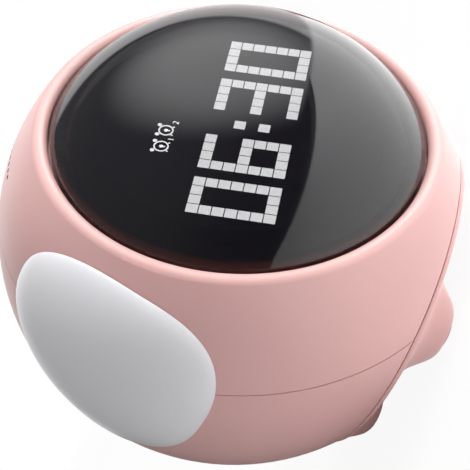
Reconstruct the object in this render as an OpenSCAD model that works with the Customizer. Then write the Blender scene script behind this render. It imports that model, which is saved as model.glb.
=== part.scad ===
// Round digital alarm clock: a ball on four feet with a tilted domed display,
// two glowing ears at its sides and three push buttons on its back.
// The clock faces -Y, stands on Z = 0 and is the same on its left and its right outside.

/* [Body] */
// Outer radius of the round body
body_r = 42.6; // [42:0.1:45]
// Thickness of the moulded walls
wall = 2.2; // [1.8:0.1:2.6]
// Width of the open line where two shells meet
seam_line = 0.2; // [0.1:0.05:0.4]
// Distance of the front and rear parting line in front of the centre
seam_t = 5.7; // [5:0.1:7]
// Length of the tongue that joins the front shell to the rear shell
tongue_len = 3; // [2:0.1:4]
// Thickness of the tongue
tongue_w = 1.4; // [1:0.1:2]

/* [Face] */
// Lean of the face back from upright, in degrees
face_tilt = 20; // [12:0.5:24]
// Radius of the opening that holds the lens
lip_r = 32.4; // [31:0.1:33.5]
// Rounding of the lip round the lens
lip_round = 1.5; // [1:0.1:2.2]
// Thickness of the ledge that carries the lens
ledge_h = 2; // [1.5:0.1:3]
// Inner radius of the ledge
ledge_in_r = 29.2; // [28.8:0.1:29.6]

/* [Lens] */
// Gap between the lens and the lip
lens_gap = 0.4; // [0.2:0.05:0.7]
// Radius of curvature of the domed lens
lens_curve_r = 39; // [38:0.5:44]
// Thickness of the lens
lens_w = 2; // [1.5:0.1:2.4]
// Depth of the lens edge below the top of the lip
lens_sink = 0.4; // [0.2:0.1:0.8]
// Length of the straight skirt of the lens
lens_skirt = 2.7; // [2:0.1:3.5]
// Thickness of the foam ring under the lens
gasket_w = 0.6; // [0.4:0.1:1]

/* [Display] */
// Distance between neighbouring pixels
pixel_pitch = 2.1; // [1.9:0.05:2.15]
// Thickness of the walls between pixels
pixel_wall = 0.25; // [0.2:0.05:0.4]
// Number of pixel columns
pixel_columns = 21; // [17:1:21]
// Number of pixel rows
pixel_rows = 7; // [5:1:7]
// Depth of the middle of the pixel field below the face axis
pixel_drop = 2.3; // [0:0.1:3]
// Height of the alarm signs above the middle of the pixel field
sign_rise = 14.1; // [11:0.1:15]
// Places of the two alarm signs across the face
sign_x = [-7.8, -3.8]; // [-9:0.1:-2]
// Diameter of the window of an alarm sign
sign_d = 3.4; // [2.6:0.1:3.6]
// Radius of the pixel baffle and of its diffuser
baffle_r = 24.8; // [24.6:0.1:25]
// Thickness of the pixel baffle
baffle_w = 2.9; // [1.8:0.1:3]
// Thickness of the diffuser sheet
diffuser_w = 0.5; // [0.3:0.1:0.8]
// Gap between the light board and the narrowest opening round it
board_gap = 0.8; // [0.5:0.1:1.2]
// Distance of its screws from the rim of the light board
board_rim = 1.9; // [1.8:0.05:2.1]
// Thickness of all circuit boards
board_w = 1.6; // [1:0.1:2]
// Side of a light chip
chip_side = 1; // [0.6:0.1:1.2]
// Height of a light chip
chip_h = 0.7; // [0.4:0.1:1]
// Depth of the lugs that carry the light board below the lens ledge
lug_drop = 0.5; // [0.3:0.1:0.8]
// Width of a lug
lug_w = 6; // [5:0.1:7]
// Thickness of a lug
lug_h = 3; // [2.5:0.1:3.5]
// Width of the lug inside its screw hole
lug_wall = 1.2; // [1:0.1:1.5]
// Width of the flat ribbon to the main board
ribbon_w = 12; // [10:0.5:14]
// Thickness of the ribbon
ribbon_t = 0.3; // [0.2:0.05:0.4]
// Height of the ribbon plug on the back of the light board
face_plug_h = 2.4; // [2:0.1:3]

/* [Ears] */
// Angle of the ear axis above level, in degrees
ear_rise = 20; // [15:1:25]
// Half of the height of an ear along the body
ear_half_h = 19.7; // [18:0.1:20.5]
// Half of the width of an ear
ear_half_w = 17; // [16:0.1:18]
// Shift of the ear up along the body
ear_mid = 2.7; // [1:0.1:4]
// Shift of the ear towards the back
ear_back = 1; // [0:0.1:2.5]
// Squareness of the ear outline, where 2 is an ellipse
ear_square = 2.4; // [2:0.1:3]
// Narrowing of the ear towards its top
ear_taper = 0.17; // [0.1:0.01:0.22]
// Height of the crown of an ear above the body
ear_bulge = 3.2; // [3:0.1:4.5]
// Fullness of the crown
ear_crown = 2.2; // [2:0.1:3.5]
// Wall of an ear
ear_wall = 1.4; // [1:0.1:1.6]
// Gap between an ear and the body
ear_gap = 0.12; // [0.1:0.01:0.3]
// Radius of the pegs that hold an ear
peg_r = 1.4; // [1:0.1:1.8]
// Distance of the pegs from the middle of the ear, as a part of its outline
peg_share = 0.72; // [0.7:0.01:0.76]
// Depth of the flat seat for the lamp board below the top of the body
lamp_seat = 1; // [0.8:0.05:1.1]
// Gap between the lamp board and the edge of its seat
lamp_gap = 0.4; // [0.3:0.05:0.6]
// Thickness of the lamp board
lamp_w = 1; // [0.6:0.1:1.2]
// Side of a lamp chip
lamp_chip = 2.8; // [2:0.1:3.5]
// Distance of the lamp chips from the middle of the lamp board
lamp_chip_ring = 5; // [4:0.1:5.5]
// Length of a peg that stands out inside the body
peg_through = 1.5; // [1:0.1:2.5]

/* [Base and feet] */
// Depth of the base seam below the centre of the body
base_drop = 30.2; // [29.5:0.1:31.5]
// Thickness of the base cover
base_w = 2.4; // [2:0.1:3]
// Slope of the rim of the base cover, inwards over its thickness
base_draw = 1.4; // [1:0.1:1.8]
// Rounding of the lower edge of the base cover
base_round = 0.9; // [0.5:0.1:1.2]
// Wall of the screw bosses above the feet
boss_wall = 1.6; // [1.4:0.1:1.8]
// Height of the screw bosses above the base seam
boss_h = 9; // [8.5:0.1:10]
// Depth of the seat of a base screw below the base cover
head_sink = 0.2; // [0:0.05:0.4]
// Thickness of the floor inside the rear shell
floor_w = 2; // [1.5:0.1:3]
// Distance of the feet from the middle, sideways
foot_x = 16.1; // [15:0.1:16.6]
// Distance of the feet from their middle, forwards and backwards
foot_y = 13.5; // [13:0.1:14.5]
// Shift of the four feet towards the back
foot_shift = 1; // [0:0.1:1.2]
// Height of a foot below the base cover
foot_h = 4.3; // [4:0.1:5]
// Radius of a foot
foot_r = 5; // [4.7:0.1:5.2]
// Rounding of the tip of a foot
foot_round = 2.1; // [1.6:0.1:2.4]
// Radius of a foot pad
pad_r = 3.3; // [2.8:0.1:3.4]
// Thickness of a foot pad
pad_w = 1.2; // [1:0.1:1.6]
// Height of a foot pad that stands out of its foot
pad_proud = 0.4; // [0.3:0.1:0.7]

/* [Back] */
// Depth of the flat on the back below the round of the body
rear_cut = 3.8; // [3.6:0.1:4.4]
// Distance between neighbouring buttons
button_pitch = 10; // [9:0.1:10.5]
// Height of the buttons above the centre of the body
button_rise = 5; // [4:0.1:6]
// Radius of a button
button_r = 3.4; // [3:0.1:3.6]
// Height of a button above the flat on the back
button_proud = 1.3; // [1.1:0.1:1.8]
// Travel of a button
button_travel = 0.6; // [0.3:0.05:0.7]
// Radial gap between a button and its hole
button_gap = 0.1; // [0.06:0.01:0.2]
// Height of the domed top of a button
button_dome = 0.5; // [0.2:0.05:0.6]
// Bevel round the top of a button
button_edge = 0.5; // [0.3:0.05:0.6]
// Play of a button against the inside of the back
play = 0.15; // [0.1:0.01:0.2]
// Width of the collar that keeps a button in
collar_w = 0.9; // [0.6:0.1:1.2]
// Thickness of that collar
collar_h = 1; // [0.8:0.1:1.3]
// Depth of the charging socket below the centre of the body
socket_drop = 7.5; // [7:0.1:9]
// Width of the charging socket
socket_x = 8.9; // [8.9:0.1:9.2]
// Height of the charging socket
socket_z = 3.2; // [3.2:0.1:3.4]
// Wall of the charging socket
socket_wall = 0.35; // [0.25:0.05:0.5]
// Thickness of the closed end of the charging socket
socket_floor = 2; // [1.5:0.1:2.5]
// Depth of the mouth of the charging socket below the flat on the back
socket_sunk = 0.3; // [0.1:0.05:0.5]
// Width of the tongue in the charging socket
blade_x = 6.7; // [6.4:0.1:6.9]
// Thickness of that tongue
blade_z = 0.7; // [0.6:0.05:0.8]
// Depth of the end of that tongue in the socket
blade_sunk = 1; // [0.8:0.1:1.4]
// Gap round the charging socket in the rear shell
socket_gap = 0.25; // [0.15:0.05:0.4]

/* [Main board] */
// Distance from the inside of the back to the main board
board_stand = 7.4; // [7:0.1:8]
// Width of the main board
board_x = 36; // [34:0.5:38]
// Height of the main board
board_z = 30; // [29:0.5:31]
// Distance from the board edge to its screws
board_inset = 3.4; // [3:0.1:4]
// Radius of the screw posts
post_r = 2.2; // [2:0.1:2.6]
// Side of a push switch
switch_side = 6; // [5:0.1:7]
// Height of a push switch
switch_h = 3.5; // [3:0.1:4]
// Thickness of the floor of a push switch
switch_floor = 0.5; // [0.4:0.1:0.7]
// Radius of the plunger of a switch
plunger_r = 1.7; // [1.4:0.1:2]
// Height of the plunger above the switch
plunger_h = 1.2; // [1:0.1:1.5]
// Width of a plug on the main board
plug_x = 5; // [4:0.1:6]
// Thickness of a plug on the main board
plug_z = 3; // [2.5:0.1:3.5]
// Height of a plug above the main board
plug_h = 3.4; // [3:0.1:4]

/* [Speaker] */
// Depth of the speaker face below the top of the inside
speaker_drop = 7.3; // [7:0.1:8.5]
// Distance of the speaker behind the centre of the body
speaker_y = 3; // [2:0.1:4]
// Radius of the speaker
speaker_r = 10; // [9:0.1:10.5]
// Height of the speaker frame
speaker_h = 3; // [2.5:0.1:4]
// Width of the rim of the speaker frame
speaker_rim = 1.2; // [1:0.1:1.5]
// Thickness of the floor of the speaker frame
speaker_floor = 1; // [0.8:0.1:1.2]
// Thickness of the speaker cone
cone_w = 0.4; // [0.3:0.05:0.6]
// Height of the cap in the middle of the cone
cone_cap = 1.4; // [1:0.1:1.6]
// Gap between the cone and the rim of the frame
cone_gap = 0.1; // [0.05:0.01:0.2]
// Radius of the magnet
magnet_r = 6; // [5:0.1:6.5]
// Height of the magnet
magnet_h = 4; // [3:0.1:5]
// Thickness of the bracket under the speaker
bracket_w = 1.5; // [1.2:0.1:2.5]
// Radius of the posts that hold the bracket
bracket_post_r = 2; // [1.8:0.1:2.2]
// Distance of the bracket screws in front of the speaker, so that the front shell carries them
bracket_fore = 4; // [3.5:0.1:5]
// Distance of the bracket screws from the middle
bracket_x = 12.6; // [12.6:0.1:14]
// Distance between neighbouring sound holes
sound_pitch = 1.52; // [1.3:0.02:1.54]
// Diameter of a sound hole
sound_d = 0.8; // [0.5:0.05:1]
// Number of sound holes in their row
sound_count = 14; // [8:1:14]
// Distance of the row of sound holes behind the centre of the body
sound_y = -1; // [-2:0.1:3]

/* [Battery] */
// Width of the battery cell
cell_x = 23; // [20:0.5:23]
// Length of the battery cell
cell_y = 36; // [30:0.5:36]
// Height of the battery cell
cell_z = 8; // [6:0.1:9]
// Distance of the front end of the battery in front of the centre of the body
cell_front = 13; // [12.5:0.1:13.5]
// Distance from the edge of the cell to the foam pad under it
cell_pad_inset = 1; // [0.5:0.1:2]
// Thickness of the foam pad under the cell
cell_pad_w = 0.8; // [0.5:0.1:1.2]

/* [Screws and fits] */
// Radius of the shank of the base screws
screw_r = 1.25; // [1:0.05:1.4]
// Radius of the shank of the small board screws
small_screw_r = 0.9; // [0.8:0.05:1]
// Width of the head of a base screw beyond its shank
head_over = 1.15; // [0.9:0.05:1.3]
// Height of the head of a base screw
head_h = 1.6; // [1.2:0.1:2]
// Length of the shank of a base screw
screw_depth = 7; // [6:0.1:8]
// Width of the head of a small screw beyond its shank
small_head_over = 0.7; // [0.5:0.05:0.8]
// Height of the head of a small screw
small_head_h = 1.2; // [0.8:0.1:1.4]
// Length of the shank of a small screw
small_depth = 4; // [3.5:0.1:4.5]
// Gap round a screw in its hole
screw_gap = 0.05; // [0.03:0.01:0.1]
// Gap round a piece that is set into another
fit_gap = 0.2; // [0.1:0.05:0.3]
// Radius of the inner leads
lead_r = 0.8; // [0.6:0.1:1]

/* [Hidden] */
$fn = 96;

// Colours
shell_pink = [0.93, 0.72, 0.69];
button_pink = [0.88, 0.64, 0.61];
milk_white = [0.93, 0.93, 0.95];
smoke_black = [0.05, 0.05, 0.06];
board_green = [0.10, 0.32, 0.20];
bright_steel = [0.75, 0.76, 0.78];
soft_grey = [0.35, 0.35, 0.37];
cell_blue = [0.35, 0.50, 0.68];

// Shells
big = 3 * body_r;
merge = 0.4;
inner_r = body_r - wall;
tongue_r = sqrt(pow(inner_r, 2) - pow(seam_t, 2)) - fit_gap;
tongue_root = 4;
rear_y = body_r - rear_cut;
rear_in_y = rear_y - wall;

// Face: r is the distance from the face axis and t the distance along it from the centre
lip_mid_r = lip_r + lip_round;
lip_mid_t = sqrt(pow(body_r - lip_round, 2) - pow(lip_mid_r, 2));
lens_r = lip_r - lens_gap;
lens_edge_t = lip_mid_t + lip_round - lens_sink;
lens_mid_t = lens_edge_t - sqrt(pow(lens_curve_r, 2) - pow(lens_r, 2));
lens_in_r = sqrt(pow(lens_curve_r - lens_w, 2) - pow(lens_edge_t - lens_mid_t, 2));
lens_foot_t = lens_edge_t - lens_skirt;
ledge_t = lens_foot_t - gasket_w;
lip_out_r = sqrt(pow(inner_r, 2) - pow(ledge_t, 2)) + merge;
lug_t = ledge_t - lug_drop;
baffle_t = lug_t + board_w;
diffuser_t = baffle_t + baffle_w;

// Light board, which passes the ledge and the skirt of the lens, and the ring of its small screws
led_board_r = min(ledge_in_r, lens_in_r) - board_gap;
small_head_r = small_screw_r + small_head_over;
display_screw_r = led_board_r - board_rim;

// Base and feet: heights below the centre of the body
base_top = base_drop + seam_line;
base_under = base_top + base_w;
foot_tip = base_under + foot_h;
floor_z = -base_drop + floor_w;
base_rim_r = sqrt(pow(body_r, 2) - pow(base_top, 2));
base_low_r = base_rim_r - base_draw;
base_seat_r = sqrt(pow(inner_r, 2) - pow(base_drop, 2)) - fit_gap;
boss_r = screw_r + boss_wall;
head_r = screw_r + head_over;
head_seat = base_under + head_sink;
pad_recess = pad_w - pad_proud;

// Place of the centre of the body: the middle of the whole depth lies over the origin
front_reach = lens_curve_r + lens_mid_t * cos(face_tilt);
rear_reach = rear_y + button_proud;
body_y = (front_reach - rear_reach) / 2;
body_z = foot_tip + pad_proud;

// Back
button_places = [-button_pitch, 0, button_pitch];
button_in_y = rear_in_y - play - collar_h;
board_y = rear_in_y - board_stand;
switch_y = board_y + switch_h;
plunger_y = switch_y + plunger_h;
post_x = board_x / 2 - board_inset;
post_z = board_z / 2 - board_inset;
socket_len = rear_y - board_y - socket_sunk;
// Places of the four lead plugs on the main board, across and up from the centre of the body
plug_places = [[-10, 9], [10, 9], [0, 11], [-9, -11]];
plug_y = board_y - board_w - plug_h;

// Speaker
speaker_z = inner_r - speaker_drop;
bracket_top = speaker_z - speaker_h;

// Ears
lamp_seat_r = sqrt(pow(body_r, 2) - pow(body_r - lamp_seat, 2));
lead_hole_y = lamp_seat_r - lamp_gap - 2 * lead_r;

// Battery
cell_end_y = cell_y - cell_front;
cell_mid_z = floor_z + cell_pad_w + cell_z / 2;

// Routes of the ribbon and the leads, seen from the centre of the body: each leaves its piece straight,
// hangs through the free space and runs straight into its plug
straight = 3;
ribbon_plug_wall = 1;
ribbon_plug_x = ribbon_w + 2 * ribbon_plug_wall;
ribbon_sag = 1.6;
ribbon_face_y = -6;
ribbon_z = -3;
ribbon_t_start = lug_t - face_plug_h;
ribbon_start = [-ribbon_t_start * cos(face_tilt) + ribbon_face_y * sin(face_tilt),
                ribbon_t_start * sin(face_tilt) + ribbon_face_y * cos(face_tilt)];
ribbon_out = ribbon_start + straight * [cos(face_tilt), -sin(face_tilt)];
ribbon_in = [plug_y - straight, ribbon_z];
ribbon_route = concat([ribbon_start], [for (s = [0 : 0.125 : 1])
    ribbon_out + s * (ribbon_in - ribbon_out) - [0, ribbon_sag * sin(180 * s)]], [[plug_y, ribbon_z]]);
ear_route = concat([ear_place([0, lead_hole_y, body_r - lamp_seat]),
                    ear_place([0, lead_hole_y, inner_r - straight]), [-26, 12, 11], [-18, 17, 10]],
                   plug_end(plug_places[0]));
speaker_route = concat([[0, speaker_y + magnet_r, bracket_top - magnet_h + 2 * lead_r],
                        [0, speaker_y + magnet_r + straight, bracket_top - magnet_h + 2 * lead_r],
                        [0, 15, 18]], plug_end(plug_places[2]));
cell_route = concat([[-8, cell_end_y, cell_mid_z], [-8, cell_end_y + straight, cell_mid_z],
                     [-8, cell_end_y + straight, cell_mid_z + cell_z], [-8.5, 18, -13]],
                    plug_end(plug_places[3]));

// Puts its children on the centre of the body
module in_body() {
    translate([0, body_y, body_z]) children();
}

// Puts its children on the face axis: Z points out of the display and Y up along it
module in_face() {
    in_body() rotate([90 - face_tilt, 0, 0]) children();
}

// Puts its children on the axis of the left ear: Z points out of the ear and X up along it
module in_ear() {
    in_body() rotate([0, ear_rise - 90, 0]) children();
}

// Puts its children on the axis of the ear on one side, -1 for left and 1 for right
module on_side(side) {
    if (side < 0) in_ear() children();
    else mirror([1, 0, 0]) in_ear() children();
}

// Everything behind the plane at t on the face axis
module behind(t) {
    in_face() translate([-big, -big, t - 2 * big]) cube(2 * big);
}

// Everything below the height z, measured from the centre of the body
module below(z) {
    in_body() translate([-big, -big, z - 2 * big]) cube(2 * big);
}

// Everything in front of the distance y behind the centre of the body
module before(y) {
    in_body() translate([-big, y - 2 * big, -big]) cube(2 * big);
}

// Puts its children at the four feet, on the level of the centre of the body
module at_feet() {
    in_body() for (x = [-foot_x, foot_x], y = [-foot_y, foot_y]) translate([x, y + foot_shift, 0]) children();
}

// Puts its children round the ring of display screws, in the frame of the face
module round_screw_ring() {
    for (a = [45 : 90 : 315]) rotate(a) translate([display_screw_r, 0, 0]) children();
}

// Puts its children at the four screws of the light board
module at_display_screws() {
    in_face() round_screw_ring() children();
}

// Puts its children at the four screw posts of the main board, with Z towards the back
module at_posts() {
    in_body() for (x = [-post_x, post_x], z = [-post_z, post_z])
        translate([x, board_y, z]) rotate([-90, 0, 0]) children();
}

// Puts its children at the two posts of the speaker bracket
module at_bracket_posts() {
    in_body() for (x = [-bracket_x, bracket_x]) translate([x, speaker_y - bracket_fore, 0]) children();
}

// Puts its children at a button, with Z towards the back
module at_button(x) {
    in_body() translate([x, 0, button_rise]) rotate([-90, 0, 0]) children();
}

// A flat bar with round ends, lying along X and extruded along Z
module round_bar(x, y, h) {
    translate([(y - x) / 2, -y / 2, 0]) cube([x - y, y, h]);
    for (side = [-1, 1]) translate([side * (x - y) / 2, 0, 0]) cylinder(d = y, h = h);
}

// A screw with its head above Z = 0 and its shank below
module screw(shank_r, depth, top_r, top_h) {
    cylinder(r = top_r, h = top_h);
    translate([0, 0, -depth]) cylinder(r = shank_r, h = depth + top_h / 2);
}

// Outline of the round off at the top of the lip, to be cut away
module lip_corner() {
    reach = 5;
    on_ball = [lip_mid_r, lip_mid_t] * lip_round / (body_r - lip_round);
    difference() {
        polygon([
            [lip_mid_r, lip_mid_t],
            [lip_mid_r, lip_mid_t] + reach * on_ball,
            [lip_mid_r, lip_mid_t + 2 * reach * lip_round],
            [lip_mid_r - reach * lip_round, lip_mid_t + 2 * reach * lip_round],
            [lip_mid_r - reach * lip_round, lip_mid_t]
        ]);
        translate([lip_mid_r, lip_mid_t]) circle(lip_round);
    }
}

// Section of the front shell: ball wall, lip, lens ledge and tongue
module front_section() {
    difference() {
        union() {
            intersection() {
                difference() {
                    circle(body_r);
                    circle(inner_r);
                }
                translate([lip_r, seam_t + seam_line / 2]) square(body_r);
            }
            intersection() {
                circle(body_r - merge);
                translate([ledge_in_r, ledge_t - ledge_h]) square([body_r, ledge_h]);
            }
            intersection() {
                circle(body_r);
                translate([lip_r, ledge_t - ledge_h]) square([lip_out_r - lip_r, body_r]);
            }
            translate([tongue_r - tongue_w, seam_t - tongue_len])
                square([tongue_w, tongue_len + tongue_root]);
        }
        lip_corner();
    }
}

// Everything that the tongue needs free of the floor in the rear shell
module tongue_space() {
    in_face() translate([0, 0, seam_t - tongue_len - fit_gap]) difference() {
        cylinder(r = big, h = body_r);
        translate([0, 0, -merge]) cylinder(r = tongue_r - tongue_w - fit_gap, h = big);
    }
}

// Cuts in the shells for the ears: the lamp seat, the peg holes and the hole of the lead
module ear_cuts() {
    for (side = [-1, 1]) on_side(side) {
        translate([0, 0, body_r - lamp_seat]) cylinder(r = lamp_seat_r + merge, h = big);
        for (p = peg_places()) translate([p[0], p[1], 0]) cylinder(r = peg_r + screw_gap, h = big);
        translate([0, lead_hole_y, 0]) cylinder(r = lead_r + fit_gap, h = big);
    }
}

module front_housing() {
    color(shell_pink) difference() {
        union() {
            in_face() rotate(90) rotate_extrude() front_section();
            intersection() {
                in_body() sphere(body_r - merge);
                at_bracket_posts() translate([0, 0, bracket_top]) cylinder(r = bracket_post_r, h = body_r);
            }
            at_display_screws() translate([-small_screw_r - lug_wall, -lug_w / 2, lug_t - lug_h])
                cube([ledge_in_r + merge - display_screw_r + small_screw_r + lug_wall, lug_w, lug_h]);
        }
        below(-base_drop);
        ear_cuts();
        in_body() for (i = [0 : sound_count - 1])
            translate([(i - (sound_count - 1) / 2) * sound_pitch, sound_y, speaker_z])
                cylinder(d = sound_d, h = big);
        at_bracket_posts() translate([0, 0, bracket_top - merge])
            cylinder(r = small_screw_r + screw_gap, h = small_depth + 2 * merge);
        at_display_screws() translate([0, 0, lug_t - lug_h - merge])
            cylinder(r = small_screw_r + screw_gap, h = lug_h + 2 * merge);
    }
}

module rear_housing() {
    color(shell_pink) difference() {
        union() {
            difference() {
                intersection() {
                    in_body() sphere(body_r);
                    behind(seam_t - seam_line / 2);
                    before(rear_y);
                }
                intersection() {
                    in_body() sphere(inner_r);
                    before(rear_in_y);
                }
            }
            difference() {
                intersection() {
                    in_body() sphere(body_r - merge);
                    behind(seam_t - seam_line / 2);
                    in_body() translate([0, 0, -base_drop]) cylinder(r = body_r, h = floor_w);
                }
                tongue_space();
            }
            at_feet() translate([0, 0, -base_drop]) cylinder(r = boss_r, h = boss_h);
            at_posts() cylinder(r = post_r, h = board_stand + merge);
        }
        below(-base_drop);
        ear_cuts();
        at_feet() translate([0, 0, -base_drop - merge]) cylinder(r = screw_r + screw_gap, h = boss_h);
        at_posts() translate([0, 0, -merge])
            cylinder(r = small_screw_r + screw_gap, h = small_depth + 2 * merge);
        for (x = button_places) at_button(x) cylinder(r = button_r + button_gap, h = big);
        in_body() translate([0, board_y, -socket_drop]) rotate([-90, 0, 0])
            round_bar(socket_x + 2 * socket_gap, socket_z + 2 * socket_gap, big);
    }
}

// Section of one foot: a round tip that flares into the base cover
module foot_section() {
    flare = foot_h - foot_round;
    lift = 0.06;
    difference() {
        translate([0, -foot_h]) square([foot_r + flare, foot_h + merge]);
        translate([foot_r + flare, lift - flare]) circle(flare);
        translate([foot_r, -foot_h - merge]) square([2 * flare, foot_round + lift + merge]);
        difference() {
            translate([foot_r - foot_round, -foot_h - merge]) square([2 * foot_round, foot_round + merge]);
            translate([foot_r - foot_round, foot_round - foot_h]) circle(foot_round);
        }
    }
}

module base_cover() {
    color(shell_pink) difference() {
        union() {
            in_body() rotate_extrude() {
                polygon([
                    [0, -base_top], [base_rim_r, -base_top], [base_low_r, base_round - base_under],
                    [base_low_r - base_round, base_round - base_under],
                    [base_low_r - base_round, -base_under], [0, -base_under]
                ]);
                translate([base_low_r - base_round, base_round - base_under]) circle(base_round);
            }
            in_body() translate([0, 0, -base_top]) cylinder(r = base_seat_r, h = seam_line);
            intersection() {
                at_feet() translate([0, 0, -base_under]) rotate_extrude() foot_section();
                in_body() translate([0, 0, -big]) cylinder(r = base_low_r - base_round / 2, h = big);
            }
        }
        at_feet() translate([0, 0, -big]) cylinder(r = screw_r + fit_gap, h = big);
        at_feet() translate([0, 0, -head_seat - big]) cylinder(r = head_r + fit_gap, h = big);
        at_feet() translate([0, 0, -foot_tip + pad_recess - big]) cylinder(r = pad_r + fit_gap, h = big);
    }
}

module foot_pads() {
    color(button_pink) at_feet() translate([0, 0, -foot_tip - pad_proud]) cylinder(r = pad_r, h = pad_w);
}

module base_screws() {
    color(bright_steel) at_feet() translate([0, 0, -head_seat]) rotate([180, 0, 0])
        screw(screw_r, screw_depth, head_r, head_h);
}

module display_lens() {
    color(smoke_black) in_face() rotate_extrude() {
        intersection() {
            translate([0, lens_mid_t]) difference() {
                circle(lens_curve_r);
                circle(lens_curve_r - lens_w);
            }
            translate([0, lens_edge_t]) square([lens_r, big]);
        }
        translate([lens_in_r, lens_foot_t]) square([lens_r - lens_in_r, lens_skirt]);
    }
}

module lens_gasket() {
    color(soft_grey) in_face() translate([0, 0, ledge_t]) difference() {
        cylinder(r = lens_r, h = gasket_w);
        translate([0, 0, -merge]) cylinder(r = lens_in_r, h = gasket_w + 2 * merge);
    }
}

// Puts its children at every pixel of the display
module at_pixels() {
    for (i = [0 : pixel_columns - 1], j = [0 : pixel_rows - 1]) {
        translate([(i - (pixel_columns - 1) / 2) * pixel_pitch,
                   (j - (pixel_rows - 1) / 2) * pixel_pitch - pixel_drop, 0]) children();
    }
}

// Puts its children at the two alarm signs
module at_signs() {
    for (x = sign_x) translate([x, sign_rise - pixel_drop, 0]) children();
}

module pixel_diffuser() {
    color(milk_white) in_face() translate([0, 0, diffuser_t]) cylinder(r = baffle_r, h = diffuser_w);
}

module pixel_baffle() {
    color(smoke_black) in_face() translate([0, 0, baffle_t]) linear_extrude(baffle_w) difference() {
        circle(baffle_r);
        round_screw_ring() circle(small_head_r + screw_gap);
        at_pixels() square(pixel_pitch - pixel_wall, center = true);
        at_signs() circle(d = sign_d);
    }
}

module led_board() {
    color(board_green) difference() {
        in_face() {
            translate([0, 0, lug_t]) cylinder(r = led_board_r, h = board_w);
            translate([0, 0, baffle_t - merge]) linear_extrude(chip_h + merge) {
                at_pixels() square(chip_side, center = true);
                at_signs() square(chip_side, center = true);
            }
            translate([-ribbon_plug_x / 2, ribbon_face_y - plug_z / 2, lug_t - face_plug_h])
                cube([ribbon_plug_x, plug_z, face_plug_h + merge]);
        }
        at_display_screws() translate([0, 0, lug_t - merge])
            cylinder(r = small_screw_r + screw_gap, h = board_w + 2 * merge);
    }
}

module display_screws() {
    color(bright_steel) at_display_screws() translate([0, 0, lug_t + board_w])
        screw(small_screw_r, small_depth, small_head_r, small_head_h);
}

// Signed power, for the outline of the ear
function curve(v, e) = sign(v) * pow(abs(v), e);

// Point of the ear outline at an angle, drawn in to a share of its full size
function ear_point(share, a) =
    let (up = curve(cos(a), 2 / ear_square), out = curve(sin(a), 2 / ear_square))
    [ear_mid + share * ear_half_h * up, ear_back + share * ear_half_w * out * (1 - ear_taper * up)];

// Height of a ball of radius r over a point of the ear plane
function ball_h(p, r) = sqrt(pow(r, 2) - pow(p[0], 2) - pow(p[1], 2));

// Point of the crown of an ear, where lift is its height above the body and rim the share where it ends
function crown_point(share, a, lift, rim) =
    let (p = ear_point(share, a))
    [p[0], p[1], ball_h(p, body_r + ear_gap) + lift * sqrt(max(0, 1 - pow(share / rim, ear_crown)))];

// Share of the outline that the hollow of the ear takes
function hollow_share() = 1 - ear_wall / ear_half_w;

// Places of the four pegs of an ear
function peg_places() = [for (a = [45 : 90 : 315]) ear_point(peg_share, a)];

// Top of a peg, inside the ear wall
function peg_top(a) = crown_point(peg_share + peg_r / ear_half_w, a, ear_bulge, 1)[2] - ear_wall / 4;

// One ear: a hollow pillow that sits on the body with four pegs through its wall
module ear_shade() {
    around = 48;
    out_steps = 8;
    in_steps = 5;
    rim = hollow_share();
    turn = [for (k = [0 : around - 1]) 360 * k / around];
    rings = concat(
        [for (i = [1 : out_steps]) [for (a = turn) crown_point(sin(90 * i / out_steps), a, ear_bulge, 1)]],
        [for (i = [0 : in_steps - 1])
            [for (a = turn) crown_point(rim * cos(90 * i / in_steps), a, ear_bulge - ear_wall, rim)]]
    );
    last = len(rings) * around + 1;
    points = concat([crown_point(0, 0, ear_bulge, 1)], [for (r = rings) each r],
                    [crown_point(0, 0, ear_bulge - ear_wall, rim)]);
    faces = concat(
        [for (k = [0 : around - 1]) [0, 1 + (k + 1) % around, 1 + k]],
        [for (i = [0 : len(rings) - 2], k = [0 : around - 1])
            let (a = 1 + i * around, n = (k + 1) % around)
            each [[a + k, a + n, a + around + n], [a + k, a + around + n, a + around + k]]],
        [for (k = [0 : around - 1])
            [last - around + k, last - around + (k + 1) % around, last]]
    );
    polyhedron(points, faces);
    for (a = [45 : 90 : 315]) {
        p = ear_point(peg_share, a);
        foot = ball_h(p, inner_r) - peg_through;
        translate([p[0], p[1], foot]) cylinder(r = peg_r, h = peg_top(a) - foot);
    }
}

module left_ear_shade() {
    color(milk_white) on_side(-1) ear_shade();
}

module right_ear_shade() {
    color(milk_white) on_side(1) ear_shade();
}

// One lamp board with its four chips
module ear_lamp() {
    translate([0, 0, body_r - lamp_seat]) {
        cylinder(r = lamp_seat_r - lamp_gap, h = lamp_w);
        for (a = [45 : 90 : 315]) rotate(a) translate([lamp_chip_ring, 0, lamp_w + (chip_h - merge) / 2])
            cube([lamp_chip, lamp_chip, chip_h + merge], center = true);
    }
}

module left_ear_lamp() {
    color(milk_white) on_side(-1) ear_lamp();
}

module right_ear_lamp() {
    color(milk_white) on_side(1) ear_lamp();
}

module speaker_frame() {
    color(soft_grey) in_body() translate([0, speaker_y, bracket_top]) difference() {
        cylinder(r = speaker_r, h = speaker_h);
        translate([0, 0, speaker_floor]) cylinder(r = speaker_r - speaker_rim, h = speaker_h);
    }
}

module speaker_cone() {
    cone_r = speaker_r - speaker_rim - cone_gap;
    cone_h = speaker_h - speaker_floor;
    color(smoke_black) in_body() translate([0, speaker_y, bracket_top + speaker_floor]) rotate_extrude()
        polygon([[0, 0], [magnet_r / 2, 0], [cone_r, cone_h - cone_w], [cone_r, cone_h],
                 [magnet_r / 2, cone_w], [0, cone_cap]]);
}

module speaker_magnet() {
    color(bright_steel) in_body() translate([0, speaker_y, bracket_top - magnet_h])
        cylinder(r = magnet_r, h = magnet_h);
}

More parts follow.
